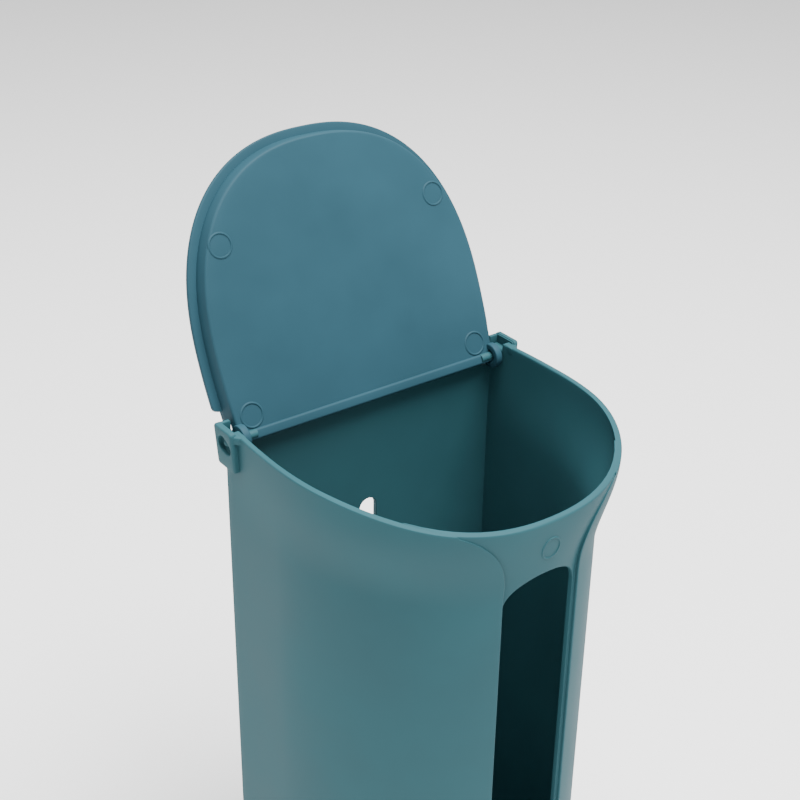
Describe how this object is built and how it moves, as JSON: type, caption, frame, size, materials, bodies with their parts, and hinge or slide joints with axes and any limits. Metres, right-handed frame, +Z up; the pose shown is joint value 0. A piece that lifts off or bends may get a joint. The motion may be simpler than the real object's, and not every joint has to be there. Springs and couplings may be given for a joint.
{
  "type": "wall-hung bag dispenser bin",
  "caption": "Wall-hung moulded plastic bin for dog waste bags, with a D-shaped tub, a slotted recessed front panel and a hinged lid that folds back.",
  "frame": {"origin": "on the underside of the base, in the middle of its width and half way between the flat back and the front of the walls", "axes": "+Z up, -Y out of the slotted front, +Y out of the flat back, +X to the right seen from the front"},
  "size_m": [0.1178, 0.1347, 0.3174],
  "materials": {
    "tub_plastic": "satin moulded polypropylene",
    "lid_plastic": "satin moulded polypropylene",
    "pin_plastic": "satin moulded polypropylene"
  },
  "bodies": {
    "bin": {"bin_body": "tub_plastic"},
    "lid": {"lid": "lid_plastic", "hinge_pin_left": "pin_plastic", "hinge_pin_right": "pin_plastic"}
  },
  "joints": [
    {"name": "lid_hinge", "type": "hinge", "parent": "bin", "child": "lid", "pos_m": [0, 0.04295, 0.2352], "axis": [1, 0, 0], "range_deg": [0, 113.5]}
  ]
}
